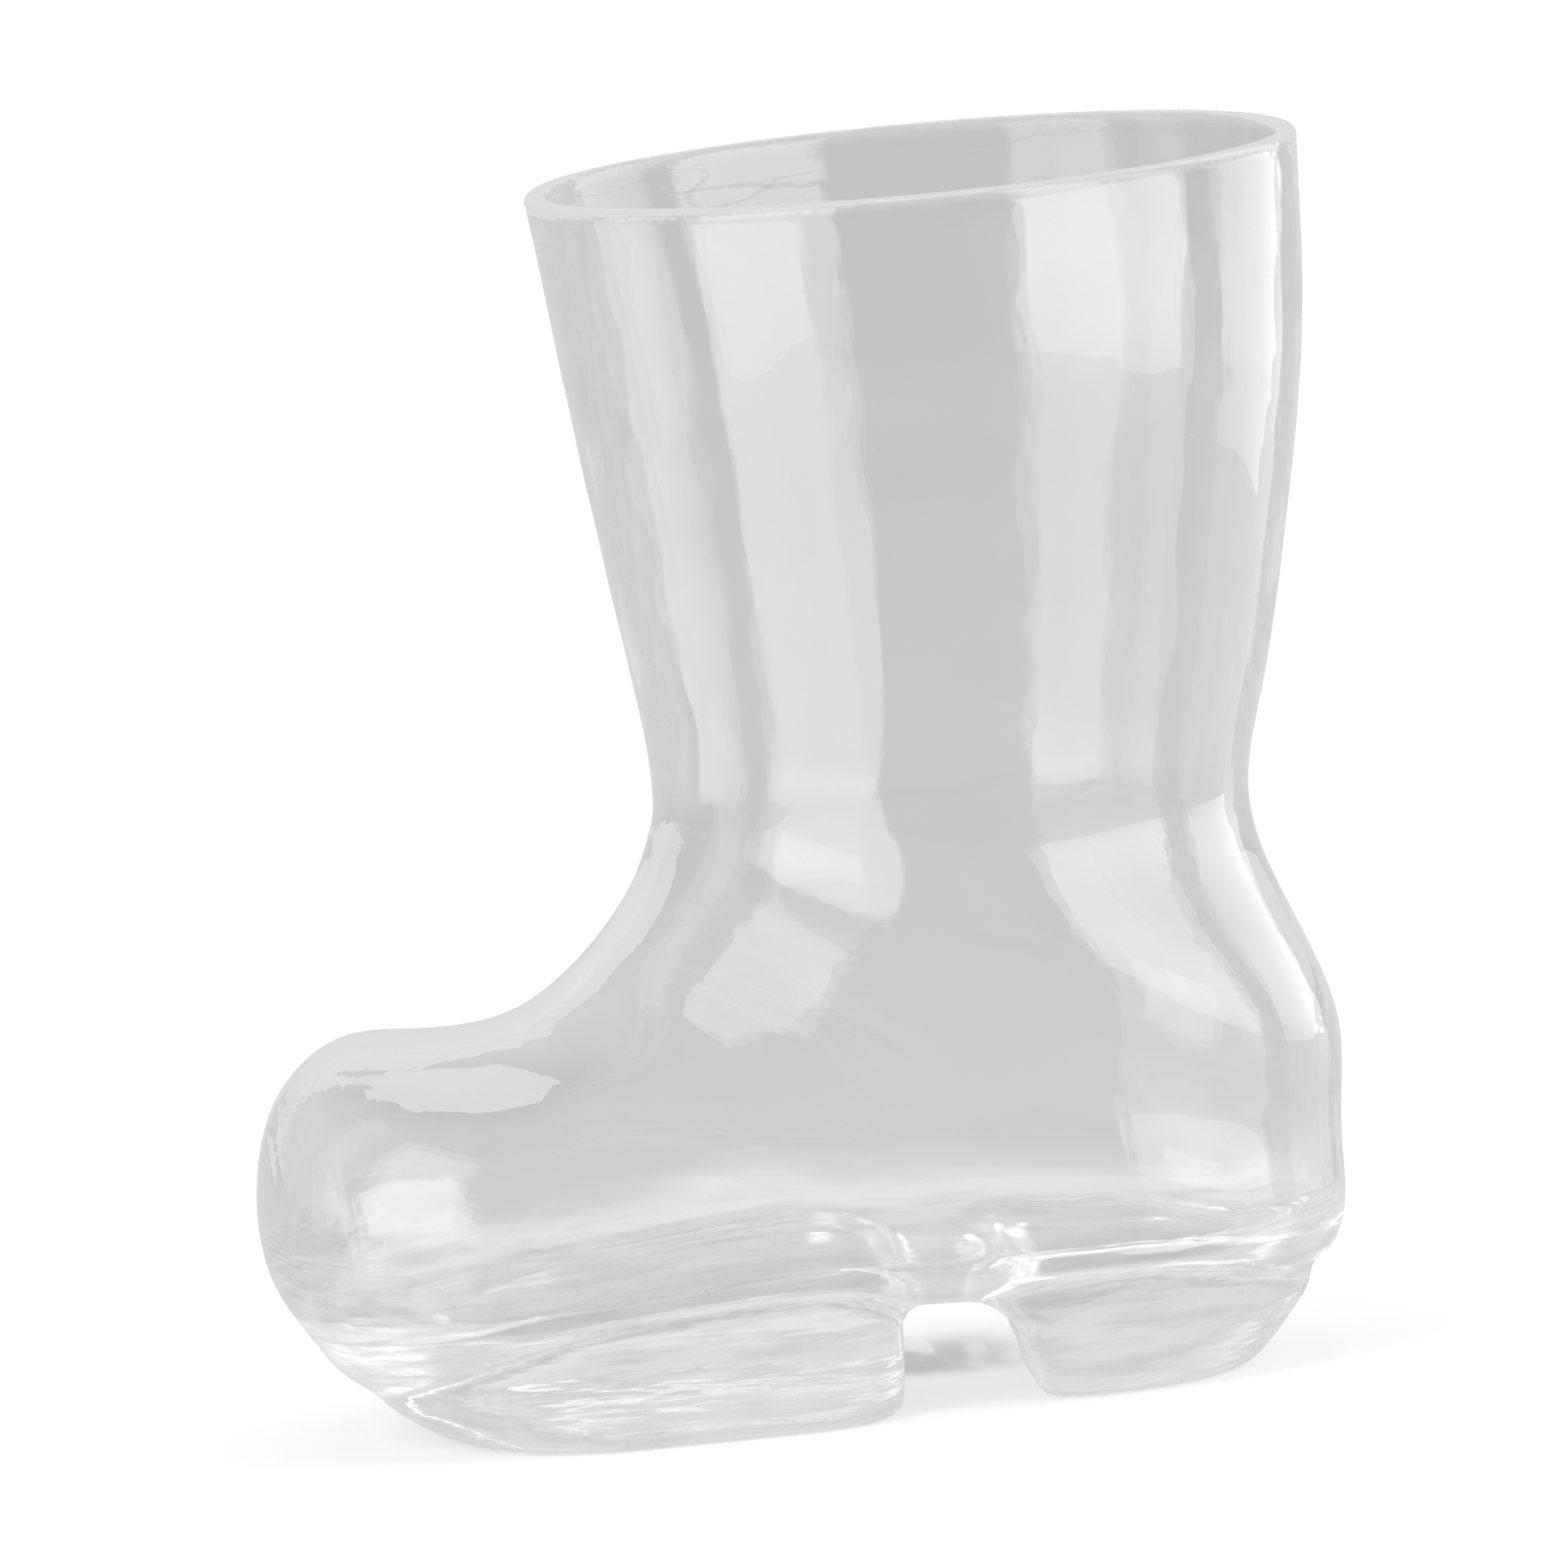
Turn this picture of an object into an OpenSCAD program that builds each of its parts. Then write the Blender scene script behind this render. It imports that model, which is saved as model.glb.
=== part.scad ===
// Drinking glass in the shape of a short boot, pressed and blown as one piece of clear glass.
// The toe points along -X, the heel along +X, and the boot stands on z = 0.

/* [Shaft] */
// Height of the rim above the table
height = 140; // [125:1:165]
// Outer diameter of the round mouth
rim_d = 88; // [80:1:96]
// Distance from the tip of the toe back to the front of the mouth
rim_setback = 41; // [36:0.5:46]
// Height of the narrowest place at the front of the ankle
ankle_h = 70; // [66:0.5:76]
// Depth of the ankle from front to back
ankle_l = 67.6; // [62:0.2:72]
// Width of the ankle from side to side
ankle_w = 65; // [58:0.5:72]
// Distance from the tip of the toe back to the front of the ankle
ankle_setback = 49.3; // [45:0.1:54]

/* [Foot] */
// Length of the foot from the tip of the toe to the back of the heel
foot_l = 124.9; // [118:0.1:134]
// Greatest width of the foot, across the ball
foot_w = 68; // [62:0.5:76]
// Height of the crown of the toe
toe_h = 46.4; // [43:0.1:51]
// Height of the foremost point of the toe
toe_tip_h = 26.5; // [23:0.5:31]
// Height of the rearmost point of the heel
heel_tip_h = 35; // [31:0.5:39]

/* [Sole and heel] */
// Width of the sole where it stands on the table
sole_w = 59; // [52:0.5:62]
// Width of the heel where it stands on the table
heel_w = 44; // [38:0.5:50]
// Distance from the tip of the toe back to where the sole meets the table
toe_overhang = 18.6; // [15:0.2:22]
// Distance from the back of the foot forward to where the heel meets the table
heel_overhang = 13; // [10:0.2:16]
// Distance from the tip of the toe back to the front wall of the arch
arch_setback = 70.6; // [66:0.2:74]
// Length of the arch at the table, between the sole and the heel
arch_l = 15; // [12:0.2:18]
// Length of the arch under its ceiling
arch_top_l = 9; // [6:0.2:11]
// Height of the ceiling of the arch above the table
arch_h = 10.8; // [9:0.1:13]

/* [Glass] */
// Thickness of the side walls and of the rim
wall = 2.2; // [1.6:0.1:3]
// Height of the inside floor above the table, in the toe and the heel
floor_h = 14.5; // [12:0.1:16]
// Thickness of the glass over the arch
arch_t = 4.4; // [3.5:0.1:6]
// Height over which the inside floor rounds into the walls
floor_r = 5; // [3:0.5:7]

/* [Hidden] */

// Cuts run past the surface that they open by this much
over = 1;
// Points round each section and steps between two stations of the body, the cavity and the blocks
body_cols = 48;
cavity_cols = 40;
block_cols = 40;
shaft_steps = 2;
body_steps = 4;
cavity_steps = 3;
lip_steps = 3;

// Rows from the rim down to the ankle. Each row: how far down, and how much of the taper is done
// at the front, at the back and at the sides.
shaft_shares = [
    [0, 0, 0, 0],
    [0.33, 0.33, 0.11, 0.17],
    [0.62, 0.64, 0.41, 0.45],
    [0.86, 0.93, 0.75, 0.76],
];
// The back of each shaft row sits lower than its front by this share of the drop at the ankle
shaft_lean_shares = [0, 0, 0.1, 0.4];
ankle_drop_share = 0.07;

// Upper line of the foot from the instep to the crown of the toe: distance from the tip over the
// setback of the ankle, and height between the crown and the ankle
instep_shares = [
    [0.985, 0.84],
    [0.95, 0.665],
    [0.897, 0.495],
    [0.83, 0.335],
    [0.75, 0.185],
    [0.655, 0.055],
    [0.54, -0.012],
    [0.405, -0.012],
    [0.27, 0],
];
// Upper line of the toe: distance from the tip over its setback, height between the tip and crown
toe_top_shares = [
    [0.16, 0.9],
    [0.067, 0.66],
    [0.016, 0.34],
];
// Lower line of the body from the toe back to the heel: distance over the length of the foot, and
// height over that of the tip, of the arch or of the rearmost point
toe_under_shares = [
    [0.009, 0.72],
    [0.039, 0.47],
    [0.091, 0.225],
];
waist_shares = [
    [0.215, 0.32],
    [0.345, 0.65],
    [0.48, 0.95],
    [0.625, 1],
    [0.79, 0.89],
];
heel_back_shares = [
    [0.962, 0.32],
    [0.992, 0.7],
    [0.998, 1.09],
    [0.959, 1.5],
];
// Half width at each station over half of the foot's greatest width, from the ankle to the toe
foot_width_shares = [0.95, 0.93, 0.92, 0.925, 0.945, 0.975, 0.995, 0.985, 0.91, 0.745, 0.53, 0.28];
// Fullness of the lower side at each station, where 2 is an ellipse
body_fullness = [2, 2, 2, 2, 2, 2.1, 2.2, 2.3, 2.7, 3.1, 3.2, 2.9, 2.6, 2.4, 2.2, 2.1, 2, 2];

// Fullness of the upper side and of the ends of the blocks
front_fullness = 2;
sole_toe_fullness = 2.1;
heel_end_fullness = 2.2;
arch_end_fullness = 6;
// Length of the rise over the arch to either side, over the length of the arch
hump_share = 2.2;
// Radius of the lip over the wall, just short of a full round
lip_share = 0.45;

// Blocks of the sole and the heel, from under the table to inside the body. Each row: height,
// overhang at the round end, half width, and how far the wall at the arch leans in.
block_share = 2;
sole_shares = [
    [-0.05, 1.05, 0.995, 0],
    [0, 1, 1, 0],
    [0.12, 0.79, 1.003, 0.05],
    [0.24, 0.63, 1.003, 0.1],
    [0.38, 0.62, 1, 0.13],
    [0.64, 0.8, 0.99, 0.15],
    [1, 1.2, 0.965, 0.15],
];
sole_mid_share = 0.58;
heel_shares = [
    [-0.05, 1.06, 0.98, 0],
    [0, 1, 1, 0],
    [0.15, 0.77, 1.11, 0.07],
    [0.27, 0.6, 1.18, 0.17],
    [0.41, 0.46, 1.21, 0.4],
    [0.64, 0.6, 1.2, 1.1],
    [1, 1, 1.1, 1.6],
];
heel_mid_share = 0.3;

foot_back = rim_setback + rim_d;
ankle_back = ankle_setback + ankle_l;
function mix(a, b, share) = a + (b - a) * share;

front_line = concat(
    [for (s = shaft_shares)
        [mix(rim_setback, ankle_setback, s[1]), mix(height, ankle_h, s[0])]],
    [[ankle_setback, ankle_h]],
    [for (s = instep_shares) [ankle_setback * s[0], mix(toe_h, ankle_h, s[1])]],
    [for (s = toe_top_shares) [ankle_setback * s[0], mix(toe_tip_h, toe_h, s[1])]]
);
toe_tip = [0, toe_tip_h];
ankle_drop = ankle_h * ankle_drop_share;
back_line = concat(
    [for (i = [0 : len(shaft_shares) - 1])
        [mix(foot_back, ankle_back, shaft_shares[i][2]),
         mix(height, ankle_h, shaft_shares[i][0]) - ankle_drop * shaft_lean_shares[i]]],
    [[ankle_back, ankle_h - ankle_drop]],
    [for (i = [len(heel_back_shares) - 1 : -1 : 0])
        [foot_l * heel_back_shares[i][0], heel_tip_h * heel_back_shares[i][1]]],
    [for (i = [len(waist_shares) - 1 : -1 : 0])
        [foot_l * waist_shares[i][0], arch_h * waist_shares[i][1]]],
    [for (i = [len(toe_under_shares) - 1 : -1 : 0])
        [foot_l * toe_under_shares[i][0], toe_tip_h * toe_under_shares[i][1]]]
);
outline = concat(front_line, [toe_tip], [for (i = [len(back_line) - 1 : -1 : 0]) back_line[i]]);
half_widths = concat(
    [for (s = shaft_shares) mix(rim_d, ankle_w, s[3]) / 2],
    [ankle_w / 2],
    [for (s = foot_width_shares) foot_w / 2 * s],
    [0]
);
last = len(front_line);

// Natural cubic spline through evenly numbered points: the bend at each point, then its value
function spline_forward(p) =
    [for (i = 1, k = 1 / 4, q = (p[0] - 2 * p[1] + p[2]) * 6 * k;
          i < len(p) - 1;
          i = i + 1,
          k = 1 / (4 - k),
          q = i < len(p) - 1 ? ((p[i - 1] - 2 * p[i] + p[i + 1]) * 6 - q) * k : q) [k, q]];
function spline_backward(kq) =
    [for (i = len(kq) - 1, m = kq[len(kq) - 1][1];
          i >= 0;
          i = i - 1, m = i >= 0 ? kq[i][1] - kq[i][0] * m : m) m];
function spline_bends(p) =
    let (down = spline_backward(spline_forward(p)))
    concat([p[0] * 0], [for (i = [len(down) - 1 : -1 : 0]) down[i]], [p[0] * 0]);
function spline_at(p, bends, u) =
    let (i = min(max(floor(u), 0), len(p) - 2), f = u - i, g = 1 - f)
    p[i] * g + p[i + 1] * f + bends[i] * (pow(g, 3) - g) / 6 + bends[i + 1] * (pow(f, 3) - f) / 6;

outline_bends = spline_bends(outline);
width_bends = spline_bends(half_widths);
fullness_bends = spline_bends(body_fullness);
function outline_at(u) = spline_at(outline, outline_bends, u);
// Direction square to the outline, into the glass, from two points a short step apart
slope_step = 0.02;
function outline_inward(u) =
    let (run = outline_at(u + slope_step) - outline_at(u - slope_step))
    [-run[1], run[0]] / norm(run);

function signed_power(v, e) = sign(v) * pow(abs(v), e);
// The lesser of two values, with the corner between them rounded over a width
function soft_min(a, b, width) =
    let (h = min(1, max(0, 0.5 + (b - a) / width / 2)))
    mix(b, a, h) - width * h * (1 - h);
// Closed section in the plane of the Y axis and the line from its front to its back. Its back is
// cut short where more than the kept share of the line lies in front, with a rounded corner.
function section_ring(front, back, half_w, back_full, cols, kept, corner) =
    [for (k = [0 : cols - 1])
        let (a = 360 * k / cols, full = cos(a) > 0 ? front_fullness : back_full,
             along = signed_power(cos(a), 2 / full), side = signed_power(sin(a), 2 / full),
             place = mix(front, back, soft_min((1 - along) / 2, kept, corner)))
        [place[0], half_w * side, place[1]]];

// Section of the outside, drawn in by an inset where the lip rounds over
function body_ring(u, inset) =
    let (front = outline_at(u) + [inset, 0],
         back = outline_at(2 * last - u) - [inset, 0],
         half_w = spline_at(half_widths, width_bends, u),
         full = spline_at(body_fullness, fullness_bends, u))
    section_ring(front, back, half_w - inset, full, body_cols, over + 1, over);

// Height of the inside floor, which rises over the arch by half a wave
arch_mid = arch_setback + arch_l / 2;
floor_rise = max(0, arch_h + arch_t - floor_h);
function floor_at(x) =
    floor_h + floor_rise * pow(cos(min(90, 90 * abs(x - arch_mid) / (arch_l * hump_share))), 2);

// Section of the inside, one wall in from the outside and cut short by the floor
function cavity_ring(u, depth) =
    let (front = outline_at(u) + outline_inward(u) * depth,
         v = 2 * last - u,
         back = outline_at(v) + outline_inward(v) * depth,
         half_w = spline_at(half_widths, width_bends, u),
         full = spline_at(body_fullness, fullness_bends, u),
         thin = 1 - min(1, 2 * half_w / foot_w),
         drop = max(wall, front[1] - back[1]),
         meet = (front[1] - floor_h) / drop,
         kept = (front[1] - floor_at(mix(front[0], back[0], meet))) / drop)
    section_ring(front, back, half_w - depth * (1 - thin * thin), full, cavity_cols,
                 kept, floor_r / drop);

// Level section of a sole block: a round end, straight sides and a squarer end at the arch
function block_ring(toe_x, mid_x, arch_x, half_w, z, toe_full, arch_full) =
    [for (k = [0 : block_cols - 1])
        let (a = 360 * k / block_cols, to_arch = cos(a) > 0, full = to_arch ? arch_full : toe_full,
             reach = to_arch ? arch_x - mid_x : mid_x - toe_x)
        [mid_x + reach * signed_power(cos(a), 2 / full), half_w * signed_power(sin(a), 2 / full), z]];

// Skin of a solid that is lofted through its rings
function loft_sides(rows, cols) =
    [for (r = [0 : rows - 2], k = [0 : cols - 1])
        let (a = r * cols + k, b = r * cols + (k + 1) % cols, c = a + cols, d = b + cols)
        each [[a, d, b], [a, c, d]]];
function first_cap(cols) = [[for (k = [0 : cols - 1]) k]];
module loft_to_tip(rings, tip) {
    rows = len(rings);
    cols = len(rings[0]);
    start = (rows - 1) * cols;
    polyhedron(
        points = concat([for (ring = rings) each ring], [tip]),
        faces = concat(
            first_cap(cols),
            loft_sides(rows, cols),
            [for (k = [0 : cols - 1]) [start + (k + 1) % cols, start + k, rows * cols]]
        )
    );
}
module loft(rings) {
    rows = len(rings);
    cols = len(rings[0]);
    polyhedron(
        points = [for (ring = rings) each ring],
        faces = concat(
            first_cap(cols),
            loft_sides(rows, cols),
            [[for (k = [cols - 1 : -1 : 0]) (rows - 1) * cols + k]]
        )
    );
}

// Round lip: the station where its rounding ends, and the angles of its rows
lip_r = wall * lip_share;
lip_u = lip_r / (outline[0][1] - outline[1][1]);
lip_angles = [for (k = [0 : lip_steps]) 90 * (1 - k / lip_steps)];

// Stations of the rows below the lip, closer together in the foot
ankle_row = len(shaft_shares);
function rows_below_lip(foot_steps) = concat(
    [for (k = [1 : ankle_row * shaft_steps]) k / shaft_steps],
    [for (k = [ankle_row * foot_steps + 1 : last * foot_steps - 1]) k / foot_steps]
);

module body_form() {
    loft_to_tip(
        concat(
            [for (a = lip_angles) body_ring(lip_u * (1 - sin(a)), lip_r * (1 - cos(a)))],
            [for (u = rows_below_lip(body_steps)) body_ring(u, 0)]
        ),
        [outline[last][0], 0, outline[last][1]]
    );
}

module cavity_form() {
    tip = outline[last] + outline_inward(last) * wall;
    lip_depth = wall - lip_r;
    loft_to_tip(
        concat(
            [[for (p = cavity_ring(0, lip_depth)) p + [0, 0, over]]],
            [for (a = lip_angles) cavity_ring(lip_u * (1 - sin(a)), wall - lip_r * (1 - cos(a)))],
            [for (u = rows_below_lip(cavity_steps)) cavity_ring(u, wall)]
        ),
        [tip[0], 0, tip[1]]
    );
}

// Height to which the blocks run up inside the body
block_h = arch_h * block_share;
sole_mid = arch_setback * sole_mid_share;
module sole_block() {
    loft([for (s = sole_shares)
        block_ring(toe_overhang * s[1], sole_mid, arch_setback + (arch_l - arch_top_l) * s[3],
                   sole_w / 2 * s[2], block_h * s[0], sole_toe_fullness, arch_end_fullness)]);
}
heel_front = arch_setback + arch_l;
heel_back = foot_l - heel_overhang;
heel_mid = mix(heel_front, heel_back, heel_mid_share);
module heel_block() {
    loft([for (s = heel_shares)
        mirrored_ring(block_ring(-(foot_l - heel_overhang * s[1]), -heel_mid,
                                 -(heel_front - (arch_l - arch_top_l) * s[3]),
                                 heel_w / 2 * s[2], block_h * s[0], heel_end_fullness,
                                 arch_end_fullness))]);
}
// Ring turned half way round the Z axis, so that its order stays the same
function mirrored_ring(ring) = [for (p = ring) [-p[0], -p[1], p[2]]];

// The boot in the frame of the part, with the middle of its length at the origin
module boot_glass() {
    length = max(foot_l, foot_back);
    color([0.86, 0.88, 0.88, 0.5])
    translate([-length / 2, 0, 0])
    difference() {
        union() {
            body_form();
            sole_block();
            heel_block();
        }
        cavity_form();
        translate([-over, -rim_d, -rim_d])
            cube([length + 2 * over, 2 * rim_d, rim_d]);
    }
}

boot_glass();
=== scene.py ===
"""Looks of a clear drinking glass in the shape of a short boot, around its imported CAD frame."""

import logging
import math
from dataclasses import dataclass
from enum import Enum

import bmesh
import bpy
import numpy as np
from mathutils import Matrix, Vector, noise
from mathutils.bvhtree import BVHTree


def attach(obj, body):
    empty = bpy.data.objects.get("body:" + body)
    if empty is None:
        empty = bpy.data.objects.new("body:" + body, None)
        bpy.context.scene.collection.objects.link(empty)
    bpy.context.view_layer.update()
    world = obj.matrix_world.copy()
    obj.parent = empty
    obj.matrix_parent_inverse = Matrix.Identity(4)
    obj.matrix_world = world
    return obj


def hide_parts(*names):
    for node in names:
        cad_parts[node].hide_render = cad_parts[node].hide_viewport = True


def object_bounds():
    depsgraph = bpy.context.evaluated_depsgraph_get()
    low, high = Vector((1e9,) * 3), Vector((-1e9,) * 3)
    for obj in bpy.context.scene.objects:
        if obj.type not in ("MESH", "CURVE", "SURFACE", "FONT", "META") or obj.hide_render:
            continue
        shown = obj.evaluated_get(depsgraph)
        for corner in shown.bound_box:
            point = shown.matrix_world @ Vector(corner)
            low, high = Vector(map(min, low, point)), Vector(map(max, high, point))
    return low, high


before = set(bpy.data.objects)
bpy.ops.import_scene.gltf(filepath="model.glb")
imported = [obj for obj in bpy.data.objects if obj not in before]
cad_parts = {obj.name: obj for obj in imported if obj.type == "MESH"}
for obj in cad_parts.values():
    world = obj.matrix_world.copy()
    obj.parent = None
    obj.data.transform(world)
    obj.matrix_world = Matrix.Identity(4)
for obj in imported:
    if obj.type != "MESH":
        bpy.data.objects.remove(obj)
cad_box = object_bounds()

log = logging.getLogger("boot_glass")

MM = 0.001
WHITE = "#FFFFFF"


def hex_linear(code: str) -> tuple[float, float, float, float]:
    """Turns an sRGB hex colour to linear, by the sRGB curve.

    Args:
        code: Six hex digits after a hash.

    Returns:
        Linear red, green and blue, and an alpha of 1.
    """
    parts = [int(code[i:i + 2], 16) / 255 for i in (1, 3, 5)]
    linear = [p / 12.92 if p <= 0.04045 else ((p + 0.055) / 1.055) ** 2.4 for p in parts]
    return (*linear, 1.0)


def add_node(tree: bpy.types.NodeTree, kind: str, settings: dict | None = None,
             inputs: dict | None = None) -> bpy.types.Node:
    """Adds a shader node with its settings, its socket values and its links.

    Args:
        tree: Node tree that gets the node.
        kind: Blender's name of the node type.
        settings: Attributes of the node.
        inputs: Socket name or index to a value, or to the output socket that feeds it.

    Returns:
        The new node.
    """
    node = tree.nodes.new(kind)
    for name, value in (settings or {}).items():
        setattr(node, name, value)
    for name, value in (inputs or {}).items():
        if isinstance(value, bpy.types.NodeSocket):
            tree.links.new(value, node.inputs[name])
        else:
            node.inputs[name].default_value = value
    return node


def bare_material(name: str) -> bpy.types.Material:
    """Makes a material whose node tree is still empty.

    Args:
        name: Name of the material.

    Returns:
        The new material.
    """
    material = bpy.data.materials.new(name)
    material.use_nodes = True
    material.node_tree.nodes.clear()
    return material


def place_mesh(name: str, points: list, faces: list) -> bpy.types.Object:
    """Makes a mesh object and puts it in the scene.

    Args:
        name: Name of the object and of its mesh.
        points: Corner points, in metres.
        faces: Numbers of the corner points of each face.

    Returns:
        The new object.
    """
    mesh = bpy.data.meshes.new(name)
    mesh.from_pydata(points, [], faces)
    mesh.update()
    obj = bpy.data.objects.new(name, mesh)
    bpy.context.scene.collection.objects.link(obj)
    return obj


def point_values(mesh: bpy.types.Mesh, name: str) -> np.ndarray:
    """Reads a vector of every point of a mesh.

    Args:
        mesh: Mesh that is read.
        name: Either co, for the places, or normal.

    Returns:
        One row of three numbers for each point.
    """
    values = np.empty(len(mesh.vertices) * 3)
    mesh.vertices.foreach_get(name, values)
    return values.reshape(-1, 3)


def natural_bends(points: np.ndarray) -> np.ndarray:
    """Second derivatives of the natural cubic spline through evenly numbered points.

    Args:
        points: One row per station.

    Returns:
        One row of bends per station, zero at both ends.
    """
    inner = len(points) - 2
    matrix = 4 * np.eye(inner) + np.eye(inner, k=1) + np.eye(inner, k=-1)
    pull = 6 * (points[:-2] - 2 * points[1:-1] + points[2:])
    bends = np.zeros_like(points, dtype=float)
    bends[1:-1] = np.linalg.solve(matrix, pull)
    return bends


class Spline:
    """Natural cubic spline through evenly numbered stations."""

    def __init__(self, points: list | tuple) -> None:
        """Keeps the stations and works out their bends."""
        self.points = np.array(points, float)
        self.bends = natural_bends(self.points)

    def at(self, u: float) -> np.ndarray:
        """Finds the point at a station number.

        Args:
            u: Station number, with a fraction between two stations.

        Returns:
            The point there, in as many numbers as a station has.
        """
        i = min(max(math.floor(u), 0), len(self.points) - 2)
        f = u - i
        g = 1 - f
        return (self.points[i] * g + self.points[i + 1] * f
                + self.bends[i] * (g ** 3 - g) / 6 + self.bends[i + 1] * (f ** 3 - f) / 6)


class Neighbours:
    """Which points of a mesh share an edge."""

    def __init__(self, mesh: bpy.types.Mesh) -> None:
        """Reads the edges, and counts those of each point.

        Args:
            mesh: Mesh whose edges are read.
        """
        edges = np.empty(len(mesh.edges) * 2, int)
        mesh.edges.foreach_get("vertices", edges)
        self.pairs = edges.reshape(-1, 2)
        self.degree = np.bincount(edges, minlength=len(mesh.vertices))[:, None]

    def relax(self, points: np.ndarray, weight: np.ndarray | float) -> np.ndarray:
        """Moves each point towards the mean of its neighbours.

        Args:
            points: Place of each point.
            weight: Share of the way to go, where a negative share goes the other way.

        Returns:
            The new places.
        """
        total = np.zeros_like(points)
        np.add.at(total, self.pairs[:, 0], points[self.pairs[:, 1]])
        np.add.at(total, self.pairs[:, 1], points[self.pairs[:, 0]])
        return points + (total / self.degree - points) * weight


def mix(a: float, b: float, share: float) -> float:
    """Value a share of the way from a to b."""
    return a + (b - a) * share


def signed_power(values: np.ndarray, exponent: np.ndarray | float) -> np.ndarray:
    """Power of the magnitudes that keeps each sign."""
    return np.sign(values) * np.abs(values) ** exponent


def soft_min(a: np.ndarray, b: float, width: float) -> np.ndarray:
    """The lesser of two values, with the corner between them rounded over a width."""
    h = np.clip(.5 + (b - a) / width / 2, 0, 1)
    return mix(b, a, h) - width * h * (1 - h)


@dataclass(frozen=True)
class BootSizes:
    """Sizes of the glass in millimetres, as in the part's own source.

    A setback is measured from the tip of the toe, and an overhang from its own end of the foot.
    """

    height: float = 140
    rim_d: float = 88
    rim_setback: float = 41
    ankle_h: float = 70
    ankle_l: float = 67.6
    ankle_w: float = 65
    ankle_setback: float = 49.3
    foot_l: float = 124.9
    foot_w: float = 68
    toe_h: float = 46.4
    toe_tip_h: float = 26.5
    heel_tip_h: float = 35
    sole_w: float = 59
    heel_w: float = 44
    toe_overhang: float = 18.6
    heel_overhang: float = 13
    arch_setback: float = 70.6
    arch_l: float = 15
    arch_top_l: float = 9
    arch_h: float = 10.8
    wall: float = 2.2
    floor_h: float = 14.5
    arch_t: float = 4.4
    floor_r: float = 5


@dataclass(frozen=True)
class BootShares:
    """Shares that place the stations of the outline, the sections and the blocks."""

    # Shaft, from the mouth down: height, front, back and width, each between mouth and ankle
    shaft: tuple = ((0, 0, 0, 0), (.33, .33, .11, .17), (.62, .64, .41, .45), (.86, .93, .75, .76))
    # The ankle's back hangs lower by a share of its height, and each shaft station by part of that
    shaft_lean: tuple = (0, 0, .1, .4)
    ankle_drop: float = .07
    # Setback as a share of the ankle's, and height between the toe's top and the ankle
    instep: tuple = ((.985, .84), (.95, .665), (.897, .495), (.83, .335), (.75, .185),
                     (.655, .055), (.54, -.012), (.405, -.012), (.27, 0))
    # Setback as a share of the ankle's, and height between the toe's tip and its top
    toe_top: tuple = ((.16, .9), (.067, .66), (.016, .34))
    # Setback as a share of the foot's length, and height as one of the toe's tip, arch or heel's tip
    toe_under: tuple = ((.009, .72), (.039, .47), (.091, .225))
    waist: tuple = ((.215, .32), (.345, .65), (.48, .95), (.625, 1), (.79, .89))
    heel_back: tuple = ((.962, .32), (.992, .7), (.998, 1.09), (.959, 1.5))
    # Share of the foot's width at each station from the instep to the top of the toe
    foot_width: tuple = (.95, .93, .92, .925, .945, .975, .995, .985, .91, .745, .53, .28)
    # Fullness of the back half at each station, where 2 is an ellipse and more is squarer
    fullness: tuple = (2, 2, 2, 2, 2, 2.1, 2.2, 2.3, 2.7, 3.1, 3.2, 2.9, 2.6, 2.4, 2.2, 2.1, 2, 2)
    front_fullness: float = 2
    sole_toe_fullness: float = 2.1
    heel_end_fullness: float = 2.2
    arch_end_fullness: float = 6
    # Half length of the floor's hump in arch lengths, radius of the lip in walls, and height of
    # the blocks in arch heights
    hump: float = 2.2
    lip: float = .45
    block: float = 2
    # Sole and heel from below: height, overhang of the round end, half width, lean at the arch
    sole: tuple = ((-.05, 1.05, .995, 0), (0, 1, 1, 0), (.12, .79, 1.003, .05),
                   (.24, .63, 1.003, .1), (.38, .62, 1, .13), (.64, .8, .99, .15),
                   (1, 1.2, .965, .15))
    sole_mid: float = .58
    heel: tuple = ((-.05, 1.06, .98, 0), (0, 1, 1, 0), (.15, .77, 1.11, .07),
                   (.27, .6, 1.18, .17), (.41, .46, 1.21, .4), (.64, .6, 1.2, 1.1),
                   (1, 1, 1.1, 1.6))
    heel_mid: float = .3


class MeshPart(Enum):
    """Closed forms that the glass is made from."""

    BODY = "body"
    SOLE = "sole"
    HEEL = "heel"
    CAVITY = "cavity"


class Joining(Enum):
    """How a form changes the glass."""

    ADD = "UNION"
    TAKE = "DIFFERENCE"


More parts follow.
